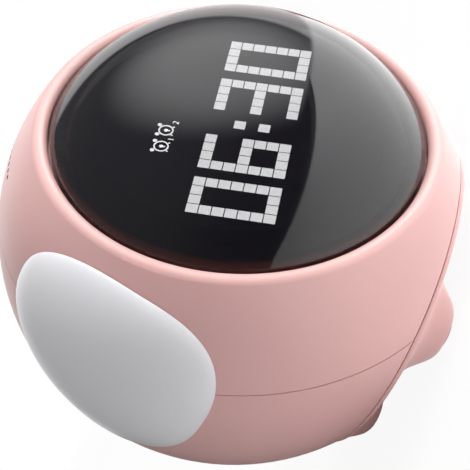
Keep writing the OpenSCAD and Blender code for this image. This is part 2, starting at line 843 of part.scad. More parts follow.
module speaker_bracket() {
    color(soft_grey) difference() {
        in_body() translate([0, 0, bracket_top - bracket_w]) {
            translate([0, speaker_y, 0]) cylinder(r = speaker_r, h = bracket_w);
            translate([0, speaker_y - bracket_fore, 0])
                round_bar(2 * (bracket_x + bracket_post_r), 2 * bracket_post_r, bracket_w);
        }
        in_body() translate([0, speaker_y, bracket_top - bracket_w - merge])
            cylinder(r = magnet_r + fit_gap, h = bracket_w + 2 * merge);
        at_bracket_posts() translate([0, 0, bracket_top - bracket_w - merge])
            cylinder(r = small_screw_r + screw_gap, h = bracket_w + 2 * merge);
    }
}

module bracket_screws() {
    color(bright_steel) at_bracket_posts() translate([0, 0, bracket_top - bracket_w]) rotate([180, 0, 0])
        screw(small_screw_r, small_depth, small_head_r, small_head_h);
}

module main_board() {
    color(board_green) difference() {
        in_body() {
            translate([-board_x / 2, board_y - board_w, -board_z / 2]) cube([board_x, board_w, board_z]);
            for (p = plug_places) translate([p[0] - plug_x / 2, plug_y, p[1] - plug_z / 2])
                cube([plug_x, plug_h + merge, plug_z]);
            translate([-ribbon_plug_x / 2, plug_y, ribbon_z - plug_z / 2])
                cube([ribbon_plug_x, plug_h + merge, plug_z]);
        }
        at_posts() translate([0, 0, -board_w - merge])
            cylinder(r = small_screw_r + screw_gap, h = board_w + 2 * merge);
    }
}

module board_screws() {
    color(bright_steel) at_posts() translate([0, 0, -board_w]) rotate([180, 0, 0])
        screw(small_screw_r, small_depth, small_head_r, small_head_h);
}

module switch_bodies() {
    color(smoke_black) for (x = button_places) at_button(x) translate([0, 0, board_y]) difference() {
        translate([-switch_side / 2, -switch_side / 2, 0]) cube([switch_side, switch_side, switch_h]);
        translate([0, 0, switch_floor]) cylinder(r = plunger_r + button_gap, h = switch_h);
    }
}

// The plunger of the switch behind one button
module plunger(x) {
    sunk = switch_h - switch_floor - button_travel - play;
    color(smoke_black) at_button(x) translate([0, 0, switch_y - sunk])
        cylinder(r = plunger_r, h = sunk + plunger_h);
}

module down_plunger() {
    plunger(button_places[0]);
}

module set_plunger() {
    plunger(button_places[1]);
}

module up_plunger() {
    plunger(button_places[2]);
}

// One button: a round cap with a domed top, a collar inside the wall and a stem to its switch
module button(x) {
    top = rear_y + button_proud;
    color(button_pink) at_button(x) {
        rotate_extrude() polygon([
            [0, button_in_y], [button_r + collar_w, button_in_y],
            [button_r + collar_w, button_in_y + collar_h], [button_r, button_in_y + collar_h],
            [button_r, top - button_dome - button_edge], [button_r - button_edge, top - button_dome], [0, top]
        ]);
        translate([0, 0, plunger_y]) cylinder(r = plunger_r, h = button_in_y - plunger_y + merge);
    }
}

module down_button() {
    button(button_places[0]);
}

module set_button() {
    button(button_places[1]);
}

module up_button() {
    button(button_places[2]);
}

module usb_socket() {
    color(bright_steel) in_body() translate([0, board_y, -socket_drop]) rotate([-90, 0, 0]) difference() {
        round_bar(socket_x, socket_z, socket_len);
        translate([0, 0, socket_floor])
            round_bar(socket_x - 2 * socket_wall, socket_z - 2 * socket_wall, socket_len);
    }
}

module usb_tongue() {
    color(smoke_black) in_body() translate([-blade_x / 2, board_y + socket_floor, -socket_drop - blade_z / 2])
        cube([blade_x, socket_len - socket_floor - blade_sunk, blade_z]);
}

module battery_pad() {
    color(soft_grey) in_body() translate([cell_pad_inset - cell_x / 2, cell_pad_inset - cell_front, floor_z])
        cube([cell_x - 2 * cell_pad_inset, cell_y - 2 * cell_pad_inset, cell_pad_w]);
}

module battery_cell() {
    color(cell_blue) in_body() translate([0, cell_end_y, cell_mid_z]) rotate([90, 0, 0])
        round_bar(cell_x, cell_z, cell_y);
}

// A flat strip of thickness w along points in a plane
function strip(route, w) =
    let (n = len(route) - 1,
         across = [for (i = [0 : n])
             let (a = route[max(i - 1, 0)], b = route[min(i + 1, n)], d = (b - a) / norm(b - a))
             [-d[1], d[0]] * w / 2])
    concat([for (i = [0 : n]) route[i] + across[i]], [for (i = [n : -1 : 0]) route[i] - across[i]]);

module display_ribbon() {
    color(soft_grey) in_body() translate([-ribbon_w / 2, 0, 0]) rotate([90, 0, 90])
        linear_extrude(ribbon_w) polygon(strip(ribbon_route, ribbon_t));
}

// Length one
function unit(v) = v / norm(v);

// Direction of a route at one of its points
function heading(p, i) =
    let (n = len(p) - 1)
    i == 0 ? unit(p[1] - p[0]) : i == n ? unit(p[n] - p[n - 1])
        : unit(unit(p[i] - p[i - 1]) + unit(p[i + 1] - p[i]));

// A round lead along a route
module lead(route) {
    sides = 8;
    guide = unit([0.3, 0.2, 1]);
    rings = [for (i = [0 : len(route) - 1])
        let (d = heading(route, i), across = unit(cross(d, guide)), up = cross(d, across))
        for (k = [0 : sides - 1])
            route[i] + lead_r * (cos(360 * k / sides) * across + sin(360 * k / sides) * up)];
    top = len(rings) - 1;
    sleeve = [for (i = [0 : len(route) - 2], k = [0 : sides - 1])
        let (a = i * sides + k, b = i * sides + (k + 1) % sides)
        each [[a, b + sides, b], [a, a + sides, b + sides]]];
    ends = [[for (k = [0 : sides - 1]) k], [for (k = [0 : sides - 1]) top - k]];
    polyhedron(rings, concat(sleeve, ends));
}

// Last two points of the route of a lead into its plug
function plug_end(place) = [[place[0], plug_y - straight, place[1]], [place[0], plug_y, place[1]]];

// Place of a point on the axis of the left ear, seen from the centre of the body
function ear_place(p) =
    [-p[2] * cos(ear_rise) + p[0] * sin(ear_rise), p[1], p[2] * sin(ear_rise) + p[0] * cos(ear_rise)];

module left_ear_lead() {
    color(milk_white) in_body() lead(ear_route);
}

module right_ear_lead() {
    color(milk_white) mirror([1, 0, 0]) in_body() lead(ear_route);
}

module speaker_lead() {
    color(smoke_black) in_body() lead(speaker_route);
}

module battery_lead() {
    color(smoke_black) in_body() lead(cell_route);
}

front_housing();
rear_housing();
base_cover();
foot_pads();
base_screws();
display_lens();
lens_gasket();
pixel_diffuser();
pixel_baffle();
led_board();
display_screws();
left_ear_shade();
right_ear_shade();
left_ear_lamp();
right_ear_lamp();
speaker_frame();
speaker_cone();
speaker_magnet();
speaker_bracket();
bracket_screws();
main_board();
board_screws();
switch_bodies();
usb_socket();
usb_tongue();
down_button();
set_button();
up_button();
down_plunger();
set_plunger();
up_plunger();
battery_pad();
battery_cell();
display_ribbon();
left_ear_lead();
right_ear_lead();
speaker_lead();
battery_lead();
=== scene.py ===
"""Looks of a round digital alarm clock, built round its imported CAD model."""

import logging
import math
from dataclasses import dataclass
from enum import Enum
from typing import Iterable, Sequence

import bmesh
import bpy
from mathutils import Matrix, Vector


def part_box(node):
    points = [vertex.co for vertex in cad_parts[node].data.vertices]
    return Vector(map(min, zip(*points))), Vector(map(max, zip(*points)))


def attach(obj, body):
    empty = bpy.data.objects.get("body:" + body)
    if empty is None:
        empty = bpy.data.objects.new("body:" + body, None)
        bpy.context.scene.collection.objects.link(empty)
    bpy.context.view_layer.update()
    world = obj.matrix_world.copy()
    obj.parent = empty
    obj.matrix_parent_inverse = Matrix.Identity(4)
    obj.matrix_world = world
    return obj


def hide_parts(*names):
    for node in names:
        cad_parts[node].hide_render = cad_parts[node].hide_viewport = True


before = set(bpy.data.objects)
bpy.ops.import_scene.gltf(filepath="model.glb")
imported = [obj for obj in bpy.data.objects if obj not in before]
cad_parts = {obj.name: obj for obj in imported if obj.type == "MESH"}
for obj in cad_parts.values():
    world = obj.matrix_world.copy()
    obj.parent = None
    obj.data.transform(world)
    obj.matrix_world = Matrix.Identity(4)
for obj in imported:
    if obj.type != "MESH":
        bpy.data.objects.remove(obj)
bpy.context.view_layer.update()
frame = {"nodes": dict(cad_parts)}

LOG = logging.getLogger("clock")
MM = 0.001
WELD = 1e-7
PHOTO_SIDE = 470

Point2 = tuple[float, float]
Point3 = tuple[float, float, float]
Colour = tuple[float, float, float]
Faces = list[list[int]]

RIGHTWARD: Point3 = (1.0, 0.0, 0.0)
BACKWARD: Point3 = (0.0, 1.0, 0.0)
FORWARD: Point3 = (0.0, -1.0, 0.0)
UPWARD: Point3 = (0.0, 0.0, 1.0)
WHITE: Colour = (1.0, 1.0, 1.0)


class BodyName(Enum):
    """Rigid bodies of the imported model."""

    CLOCK = "clock"
    DOWN = "down_key"
    SET = "set_key"
    UP = "up_key"


class Side(Enum):
    """The two sides of the clock, seen by a person who faces its display."""

    LEFT = -1
    RIGHT = 1


@dataclass(frozen=True)
class ClockSizes:
    """Sizes that several pieces share, in millimetres, as in the part's source."""

    body_r: float = 42.6
    wall: float = 2.2
    face_tilt: float = 20.0
    lip_r: float = 32.4
    lip_round: float = 1.5
    lens_gap: float = 0.4
    lens_curve_r: float = 39.0
    lens_sink: float = 0.4
    lens_skirt: float = 2.7
    gasket_w: float = 0.6
    lug_drop: float = 0.5
    board_w: float = 1.6
    baffle_w: float = 2.9
    diffuser_w: float = 0.5
    base_drop: float = 30.2
    base_w: float = 2.4
    seam_line: float = 0.2
    foot_h: float = 4.3
    pad_proud: float = 0.4
    rear_cut: float = 3.8
    button_proud: float = 1.3

    @property
    def inner_r(self) -> float:
        """Inner radius of the body's wall."""
        return self.body_r - self.wall

    @property
    def lens_edge_t(self) -> float:
        """Distance of the lens edge from the centre, along the face axis.

        Returns:
            The distance in millimetres.
        """
        mid_r = self.lip_r + self.lip_round
        mid_t = math.sqrt((self.body_r - self.lip_round) ** 2 - mid_r**2)
        return mid_t + self.lip_round - self.lens_sink

    @property
    def lens_mid_t(self) -> float:
        """Distance of the middle of the lens's curve from the centre, along the face axis."""
        return self.lens_edge_t - math.sqrt(self.lens_curve_r**2 - (self.lip_r - self.lens_gap) ** 2)

    @property
    def diffuser_top_t(self) -> float:
        """Distance of the diffuser's front from the centre, along the face axis."""
        ledge_t = self.lens_edge_t - self.lens_skirt - self.gasket_w
        return ledge_t - self.lug_drop + self.board_w + self.baffle_w + self.diffuser_w

    @property
    def base_top(self) -> float:
        """Depth of the top of the base cover below the centre."""
        return self.base_drop + self.seam_line

    @property
    def base_under(self) -> float:
        """Depth of the underside of the base cover below the centre."""
        return self.base_top + self.base_w

    @property
    def rear_y(self) -> float:
        """Distance of the flat on the back behind the centre."""
        return self.body_r - self.rear_cut

    @property
    def centre(self) -> Vector:
        """Place of the body's centre in the part's frame.

        Returns:
            The place in millimetres.
        """
        front = self.lens_curve_r + self.lens_mid_t * math.cos(math.radians(self.face_tilt))
        rear = self.rear_y + self.button_proud
        return Vector((0.0, (front - rear) / 2, self.base_under + self.foot_h + self.pad_proud))

    def on_body(self) -> Matrix:
        """Frame on the body's centre, in metres for sizes in millimetres."""
        return Matrix.Scale(MM, 4) @ Matrix.Translation(self.centre)

    def on_face(self) -> Matrix:
        """Frame on the face axis: Z points out of the display and Y up along it."""
        return self.on_body() @ Matrix.Rotation(math.radians(90 - self.face_tilt), 4, "X")

    def on_back(self, x: float, z: float) -> Matrix:
        """Frame on the flat of the back: Z points out of the back, Y down.

        Args:
            x: Place across the back.
            z: Place above the centre.

        Returns:
            The frame.
        """
        flat = Matrix.Translation((x, self.rear_y, z))
        return self.on_body() @ flat @ Matrix.Rotation(-math.pi / 2, 4, "X")


SIZES = ClockSizes()


class Value:
    """One output of a shader node, with the arithmetic that the finishes use."""

    def __init__(self, tree: "ShaderTree", socket: bpy.types.NodeSocket) -> None:
        """Keeps the socket and the tree that it belongs to."""
        self.tree = tree
        self.socket = socket

    def _math(self, operation: str, first: "Value | float", second: "Value | float") -> "Value":
        """Adds one Math node.

        Args:
            operation: Name of the Math node's operation.
            first: Value or number of its first input.
            second: Value or number of its second input.

        Returns:
            The node's output.
        """
        return self.tree.node("ShaderNodeMath", {"operation": operation}, {0: first, 1: second})

    def __add__(self, other: "Value | float") -> "Value":
        """Sum."""
        return self._math("ADD", self, other)

    def __radd__(self, other: float) -> "Value":
        """Sum with the number first."""
        return self._math("ADD", other, self)

    def __sub__(self, other: "Value | float") -> "Value":
        """Difference."""
        return self._math("SUBTRACT", self, other)

    def __rsub__(self, other: float) -> "Value":
        """Difference with the number first."""
        return self._math("SUBTRACT", other, self)

    def __mul__(self, other: "Value | float") -> "Value":
        """Product."""
        return self._math("MULTIPLY", self, other)

    def __rmul__(self, other: float) -> "Value":
        """Product with the number first."""
        return self._math("MULTIPLY", other, self)

    def fraction(self) -> "Value":
        """What is left past the whole number below."""
        return self._math("FRACT", self, 0.0)

    def larger(self, other: "Value | float") -> "Value":
        """Larger of two values."""
        return self._math("MAXIMUM", self, other)

    def above(self, edge: float, soft: float) -> "Value":
        """Share from 0 to 1 of how far the value is past an edge.

        Args:
            edge: Value in the middle of the step.
            soft: Width of the step.

        Returns:
            The smooth step.
        """
        inputs = {"Value": self, "From Min": edge - soft / 2, "From Max": edge + soft / 2}
        return self.tree.node("ShaderNodeMapRange", {"interpolation_type": "SMOOTHSTEP"}, inputs)


class ShaderTree:
    """A node tree that is filled from Python expressions."""

    def __init__(self, tree: bpy.types.NodeTree) -> None:
        """Empties the tree."""
        self.tree = tree
        tree.nodes.clear()

    def node(self, kind: str, settings: dict, inputs: dict, output: int | str = 0) -> Value:
        """Adds one node.

        Args:
            kind: Blender's name of the node's type.
            settings: The node's own settings.
            inputs: Values or numbers of its sockets, by name or place.
            output: Name or place of the output that is wanted.

        Returns:
            That output.
        """
        made = self.tree.nodes.new(kind)
        for name, setting in settings.items():
            setattr(made, name, setting)
        for key, given in inputs.items():
            socket = made.inputs[key]
            if isinstance(given, Value):
                self.tree.links.new(given.socket, socket)
            elif isinstance(given, tuple) and len(given) == 3 and socket.type == "RGBA":
                socket.default_value = (*given, 1.0)
            else:
                socket.default_value = given
        return Value(self, made.outputs[output] if made.outputs else None)

    def place(self) -> Value:
        """Position in the part's frame, in metres."""
        return self.node("ShaderNodeTexCoord", {}, {}, "Object")

    def outlook(self) -> Value:
        """Direction of what a ray sees in the world."""
        return self.node("ShaderNodeTexCoord", {}, {}, "Generated")

    def ray(self, kind: str) -> Value:
        """1 for rays of one kind, such as Camera, and 0 for the others."""
        return self.node("ShaderNodeLightPath", {}, {}, f"Is {kind} Ray")

    def emission(self, strength: Value | float) -> Value:
        """White light of a given strength."""
        return self.node("ShaderNodeEmission", {}, {"Color": WHITE, "Strength": strength})

    def blend(self, share: Value, first: Value, second: Value) -> Value:
        """Surface between two surfaces: the first at 0, the second at 1."""
        return self.node("ShaderNodeMixShader", {}, {0: share, 1: first, 2: second})

    def noise(self, size: float, detail: float = 2.0, stretch: Point3 = (1.0, 1.0, 1.0)) -> Value:
        """Noise with features of one size.

        Args:
            size: Size of its features in millimetres.
            detail: Number of finer layers.
            stretch: Shares of that scale along X, Y and Z.

        Returns:
            A value from 0 to 1.
        """
        where = self.node("ShaderNodeMapping", {}, {"Vector": self.place(), "Scale": stretch})
        inputs = {"Vector": where, "Scale": 1 / (size * MM), "Detail": detail}
        return self.node("ShaderNodeTexNoise", {}, inputs)

    def along(self, vector: Value, direction: Point3) -> Value:
        """How far a vector goes along a direction."""
        sides = {0: vector, 1: direction}
        return self.node("ShaderNodeVectorMath", {"operation": "DOT_PRODUCT"}, sides, "Value")

    def axis_distance(self, middle: Vector, axis: Vector) -> Value:
        """Distance from an axis, in metres.

        Args:
            middle: Point on the axis.
            axis: Direction of the axis, one long.

        Returns:
            The distance.
        """
        off = self.node("ShaderNodeVectorMath", {"operation": "SUBTRACT"}, {0: self.place(), 1: middle})
        across = self.node("ShaderNodeVectorMath", {"operation": "CROSS_PRODUCT"}, {0: off, 1: axis})
        return self.node("ShaderNodeVectorMath", {"operation": "LENGTH"}, {0: across}, "Value")

    def mix(self, share: Value, first: Colour | Value, second: Colour | Value) -> Value:
        """Colour between two colours.

        Args:
            share: 0 for the first and 1 for the second.
            first: First colour.
            second: Second colour.

        Returns:
            The mixed colour.
        """
        return self.node("ShaderNodeMix", {"data_type": "RGBA"}, {0: share, 6: first, 7: second}, 2)

    def bump(self, height: Value, depth: float) -> Value:
        """Normal of a surface with fine relief.

        Args:
            height: Relief from 0 to 1.
            depth: Depth of the relief in millimetres.

        Returns:
            The normal.
        """
        return self.node("ShaderNodeBump", {}, {"Height": height, "Strength": 1.0, "Distance": depth * MM})


@dataclass(frozen=True)
class Fade:
    """Soft step along one direction: 0 before its edge and 1 past it."""

    aim: Point3
    edge: float
    soft: float

    def of(self, vector: Value) -> Value:
        """Step for a place or a direction."""
        return vector.tree.along(vector, self.aim).above(self.edge, self.soft)


def shade(colour: Colour, share: float) -> Colour:
    """Colour made lighter or darker by a share of itself.

    Args:
        colour: Colour to change.
        share: 0.1 makes it a tenth lighter, -0.1 a tenth darker.

    Returns:
        The new colour.
    """
    return tuple(min(1.0, c * (1 + share)) for c in colour)


@dataclass(frozen=True)
class Finish:
    """A moulded surface: colour that drifts a little, fine relief and uneven gloss."""

    name: str
    colour: Colour
    rough: float
    drift: float = 0.03
    drift_size: float = 25.0
    grain: float = 0.35
    grain_depth: float = 0.006
    grain_detail: float = 3.0
    rough_drift: float = 0.06
    wear_share: float = 0.25
    wear_detail: float = 4.0
    metallic: float = 0.0
    coat: float = 0.0
    coat_rough: float = 0.2
    subsurface: float = 0.0
    subsurface_r: float = 4.0
    specular: float = 0.5

    def material(self) -> bpy.types.Material:
        """Makes the material.

        Returns:
            The new material.
        """
        made = bpy.data.materials.new(self.name)
        made.use_nodes = True
        tree = ShaderTree(made.node_tree)
        surface = tree.node("ShaderNodeBsdfPrincipled", {}, self.sockets(tree))
        tree.node("ShaderNodeOutputMaterial", {}, {"Surface": surface})
        return made

    def sockets(self, tree: ShaderTree) -> dict:
        """Values of the surface's sockets.

        Args:
            tree: Tree to add nodes to.

        Returns:
            Values by the socket's name.
        """
        cloud = tree.noise(self.drift_size)
        wear = tree.noise(self.drift_size * self.wear_share, self.wear_detail)
        return {
            "Base Color": tree.mix(cloud, shade(self.colour, -self.drift), shade(self.colour, self.drift)),
            "Roughness": self.rough + (wear - 0.5) * (2 * self.rough_drift),
            "Normal": tree.bump(self.relief(tree), self.grain_depth),
            "Metallic": self.metallic,
            "Coat Weight": self.coat,
            "Coat Roughness": self.coat_rough,
            "Subsurface Weight": self.subsurface,
            "Subsurface Radius": (self.subsurface_r * MM,) * 3,
            "Subsurface Scale": 1.0,
            "Specular IOR Level": self.specular,
        }

    def relief(self, tree: ShaderTree) -> Value:
        """Relief of the surface from 0 to 1."""
        return tree.noise(self.grain, self.grain_detail)


@dataclass(frozen=True)
class ShellFinish(Finish):
    """Moulded shell with painted shade inside its row of sound holes and a thin painted shadow ring round each."""

    hole_pitch: float = 1.52
    hole_count: int = 14
    hole_y: float = -1.0
    hole_shade_r: float = 0.5
    hole_soft: float = 0.05
    top_soft: float = 0.1
    hole_shade_colour: Colour = (0.030, 0.018, 0.018)

    def sockets(self, tree: ShaderTree) -> dict:
        """Values of the surface's sockets, with painted shade in and round the sound holes in its colour.

        Args:
            tree: Tree to add nodes to.

        Returns:
            Values by the socket's name.
        """
        x, y, z = ((tree.along(tree.place(), aim) * (1 / MM) - middle) for aim, middle in
                   zip((RIGHTWARD, BACKWARD, UPWARD), SIZES.centre))
        aside = ((x * (1 / self.hole_pitch)).fraction() - 0.5) * self.hole_pitch
        along = y - self.hole_y
        beyond = (aside * aside + along * along).above(self.hole_shade_r**2, self.hole_soft)
        past_end = (x * x).above((self.hole_count * self.hole_pitch / 2) ** 2, self.hole_soft)
        # Painted shade: the colour goes dark inside each sound hole and in a thin ring round it.
        painted_hole_shade = (1 - beyond) * (1 - past_end) * z.above(SIZES.body_r / 2, self.top_soft)
        sockets = super().sockets(tree)
        return {**sockets, "Base Color": tree.mix(painted_hole_shade, sockets["Base Color"], self.hole_shade_colour)}


@dataclass(frozen=True)
class SmokedFinish(Finish):
    """Polished smoke-tinted plastic that lets a little light through, with a painted reflection of the pink lip
    round its rim.
    """

    opacity: float = 0.72
    lip_reflection_colour: Colour = (0.060, 0.021, 0.019)
    rim_r: float = 31.4
    lip_reflection_soft: float = 1.0

    def sockets(self, tree: ShaderTree) -> dict:
        """Values of the surface's sockets, with the tint's opacity and a painted reflection of the pink lip, dark as
        in shade, round the rim.

        Args:
            tree: Tree to add nodes to.

        Returns:
            Values by the socket's name.
        """
        face = SIZES.on_face()
        rim = tree.axis_distance(face.translation, face.col[2].to_3d().normalized())
        rim = rim.above(self.rim_r * MM, self.lip_reflection_soft * MM)
        sockets = super().sockets(tree)
        # Painted reflection: the rim of the lens takes the dark pink-brown of the lip seen in shade.
        tint = tree.mix(rim, sockets["Base Color"], self.lip_reflection_colour)
        return {**sockets, "Base Color": tint, "Alpha": self.opacity}


@dataclass(frozen=True)
class GlowFinish(Finish):
    """A light window that glows almost evenly."""

    strength: float = 9.0
    uneven_size: float = 0.5
    uneven_detail: float = 1.0
    dimmer: float = 0.2
    brighter: float = 0.12

    def sockets(self, tree: ShaderTree) -> dict:
        """Values of the surface's sockets, with its glow.

        Args:
            tree: Tree to add nodes to.

        Returns:
            Values by the socket's name.
        """
        uneven = tree.noise(self.uneven_size, self.uneven_detail)
        glow = tree.mix(uneven, shade(self.colour, -self.dimmer), shade(self.colour, self.brighter))
        return {**super().sockets(tree), "Emission Color": glow, "Emission Strength": self.strength}


@dataclass(frozen=True)
class BrushedFinish(Finish):
    """Plated metal with fine lines along one direction."""

    grain_detail: float = 4.0
    line_stretch: Point3 = (1.0, 0.05, 1.0)

    def relief(self, tree: ShaderTree) -> Value:
        """Relief of fine lines from 0 to 1."""
        return tree.noise(self.grain, self.grain_detail, self.line_stretch)


@dataclass(frozen=True)
class BoardFinish(Finish):
    """Lacquered circuit board with copper tracks under the lacquer."""

    track: Colour = (0.16, 0.42, 0.24)
    track_span: float = 7.8
    track_edge: float = 0.75
    track_soft: float = 0.1
    block_size: float = 4.0
    block_edge: float = 0.5
    block_soft: float = 0.02

    def sockets(self, tree: ShaderTree) -> dict:
        """Values of the surface's sockets, with the tracks in its colour.

        Args:
            tree: Tree to add nodes to.

        Returns:
            Values by the socket's name.
        """
        inputs = {"Vector": tree.place(), "Scale": 1 / (self.track_span * MM), "Distortion": 0.0}
        wave = tree.node("ShaderNodeTexWave", {"bands_direction": "X"}, inputs, "Fac")
        blocks = tree.noise(self.block_size, 0.0)
        lines = wave.above(self.track_edge, self.track_soft) * blocks.above(self.block_edge, self.block_soft)
        return {**super().sockets(tree), "Base Color": tree.mix(lines, self.colour, self.track)}


class Finishes:
    """All finishes of the clock, made once."""

    pink = ShellFinish("shell_pink", (0.76, 0.452, 0.433), 0.40, coat=0.12, coat_rough=0.3, subsurface=0.04,
                       specular=0.4)
    key = Finish("button_pink", (0.70, 0.378, 0.358), 0.38, coat=0.12, coat_rough=0.25)
    mark = Finish("button_mark", (0.86, 0.80, 0.79), 0.5, grain_depth=0.003)
    milk = Finish("milky_shade", (0.83, 0.83, 0.86), 0.34, drift=0.015, grain_depth=0.004, coat=0.15,
                  subsurface=0.12)
    film = Finish("diffuser_film", (0.012, 0.012, 0.015), 0.5, drift=0.05)
    mask = Finish("black_lacquer", (0.010, 0.010, 0.012), 0.45, drift=0.1, coat=0.2)
    smoke = SmokedFinish("smoked_lens", (0.007, 0.006, 0.010), 0.035, drift=0.2, grain=4.0, grain_depth=0.0006,
                         rough_drift=0.012, specular=0.9)
    glow = GlowFinish("pixel_glow", (0.93, 0.93, 0.96), 0.5, strength=9.0)
    sign = GlowFinish("sign_glow", (0.95, 0.95, 0.97), 0.5, strength=11.5)
    black = Finish("black_plastic", (0.012, 0.012, 0.014), 0.5, drift=0.1)
    grey = Finish("grey_plastic", (0.10, 0.10, 0.11), 0.5, drift=0.06)
    lead = Finish("white_lead", (0.68, 0.68, 0.68), 0.45, grain=0.2)
    foot = Finish("foot_rubber", (0.60, 0.36, 0.345), 0.7, drift=0.05, grain=0.25, grain_depth=0.012)
    foam = Finish("grey_foam", (0.06, 0.06, 0.062), 0.9, drift=0.1, grain=0.5, grain_depth=0.05)
    steel = BrushedFinish("bright_steel", (0.50, 0.51, 0.53), 0.28, metallic=1.0, grain=0.15)
    dark_steel = BrushedFinish("blackened_steel", (0.022, 0.022, 0.024), 0.5, metallic=1.0, grain=0.15)
    gold = BrushedFinish("contact_gold", (0.80, 0.55, 0.22), 0.25, metallic=1.0, grain=0.1)
    board = BoardFinish("circuit_board", (0.012, 0.085, 0.035), 0.35, coat=0.4, coat_rough=0.1)
    wrap = Finish("cell_wrap", (0.10, 0.21, 0.42), 0.3, drift=0.06, drift_size=8.0, coat=0.3)

    def __init__(self) -> None:
        """Starts with no material made."""
        self._made: dict[str, bpy.types.Material] = {}

    def of(self, finish: Finish) -> bpy.types.Material:
        """Material of a finish, made the first time it is asked for.

        Args:
            finish: The finish.

        Returns:
            Its material.
        """
        if finish.name not in self._made:
            self._made[finish.name] = finish.material()
        return self._made[finish.name]


FINISHES = Finishes()


def dress(piece: bpy.types.Object, finish: Finish) -> None:
    """Gives a piece one finish all over.

    Args:
        piece: Mesh object, new or from the CAD model.
        finish: Its finish.
    """
    piece.data.materials.clear()
    piece.data.materials.append(FINISHES.of(finish))


def new_piece(name: str, points: Iterable[Point3], faces: Faces, place: Matrix, finish: Finish,
              body: BodyName, sharp: float = 35.0) -> bpy.types.Object:
    """Makes a closed mesh that rides on a body of the model.

    Args:
        name: Name of the piece.
        points: Its points, in millimetres in the frame of place.
        faces: Its faces, as places in the list of points.
        place: Frame of its points.
        finish: Its finish.
        body: Body that it moves with.
        sharp: Angle in degrees from which an edge stays sharp.

    Returns:
        The new object.
    """
    mesh = bpy.data.meshes.new(name)
    mesh.from_pydata([tuple(place @ Vector(p)) for p in points], [], faces)
    work = bmesh.new()
    work.from_mesh(mesh)
    bmesh.ops.remove_doubles(work, verts=work.verts, dist=WELD)
    bmesh.ops.recalc_face_normals(work, faces=work.faces)
    work.to_mesh(mesh)
    work.free()
    mesh.shade_smooth()
    mesh.set_sharp_from_angle(angle=math.radians(sharp))
    made = bpy.data.objects.new(name, mesh)
    bpy.context.scene.collection.objects.link(made)
    dress(made, finish)
    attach(made, body.value)
    LOG.info("%s: %d faces", name, len(mesh.polygons))
    return made


class MeshLines:
    """Points and faces of one mesh, put together ring by ring and prism by prism."""

    def __init__(self) -> None:
        """Starts empty."""
        self.points: list[Point3] = []
        self.faces: Faces = []

    def rings(self, rings: Sequence[Sequence[Point3]], close: bool = False) -> None:
        """Joins rings of equally many points by quads.

        Args:
            rings: Rings of points, each going once round.
            close: Whether the last ring joins the first.
        """
        start, around = len(self.points), len(rings[0])
        self.points += [p for ring in rings for p in ring]
        pairs = len(rings) if close else len(rings) - 1
        for i in range(pairs):
            a, b = start + i * around, start + (i + 1) % len(rings) * around
            for k in range(around):
                n = (k + 1) % around
                self.faces.append([a + k, a + n, b + n, b + k])

    def cap(self, ring: Sequence[Point3]) -> None:
        """Closes a ring with one face.

        Args:
            ring: Points that go once round.
        """
        start = len(self.points)
        self.points += list(ring)
        self.faces.append(list(range(start, start + len(ring))))

    def solid_of_rings(self, rings: Sequence[Sequence[Point3]]) -> None:
        """Joins rings and closes both ends.

        Args:
            rings: Rings of equally many points.
        """
        self.rings(rings)
        self.cap(rings[0])
        self.cap(rings[-1])

    def prism(self, outline: Sequence[Point2], low: float, high: float) -> None:
        """Adds a straight prism over an outline."""
        self.solid_of_rings([[(x, y, z) for x, y in outline] for z in (low, high)])

    def bar(self, start: Point2, end: Point2, width: float, low: float, high: float) -> None:
        """Adds a straight bar between two points.

        Args:
            start: Middle of its first end.
            end: Middle of its other end.
            width: Its width.
            low: Height of its underside.
            high: Height of its top.
        """
        along = Vector(end) - Vector(start)
        off = Vector((-along.y, along.x)).normalized() * width / 2
        a, b = Vector(start), Vector(end)
        self.prism([tuple(a + off), tuple(a - off), tuple(b - off), tuple(b + off)], low, high)

    def disc(self, middle: Point2, radius: float, low: float, high: float, steps: int = 32) -> None:
        """Adds a short upright cylinder."""
        self.prism(circle(middle, radius, steps), low, high)

    def hoop(self, middle: Point2, outer: float, inner: float, low: float, high: float, steps: int = 48) -> None:
        """Adds a flat ring."""
        edges = ((outer, low), (outer, high), (inner, high), (inner, low))
        self.rings([[(x, y, z) for x, y in circle(middle, r, steps)] for r, z in edges], close=True)


def circle(middle: Point2, radius: float, steps: int) -> list[Point2]:
    """Points round a circle."""
    turns = (2 * math.pi * k / steps for k in range(steps))
    return [(middle[0] + radius * math.cos(a), middle[1] + radius * math.sin(a)) for a in turns]


def smooth(x: float) -> float:
    """Smooth step of a share from 0 to 1."""
    x = max(0.0, min(1.0, x))
    return x * x * (3 - 2 * x)


def arch(x: float) -> float:
    """Rise of a quarter of a circle over a share from 0 to 1."""
    x = max(0.0, min(1.0, x))
    return math.sqrt(x * (2 - x))


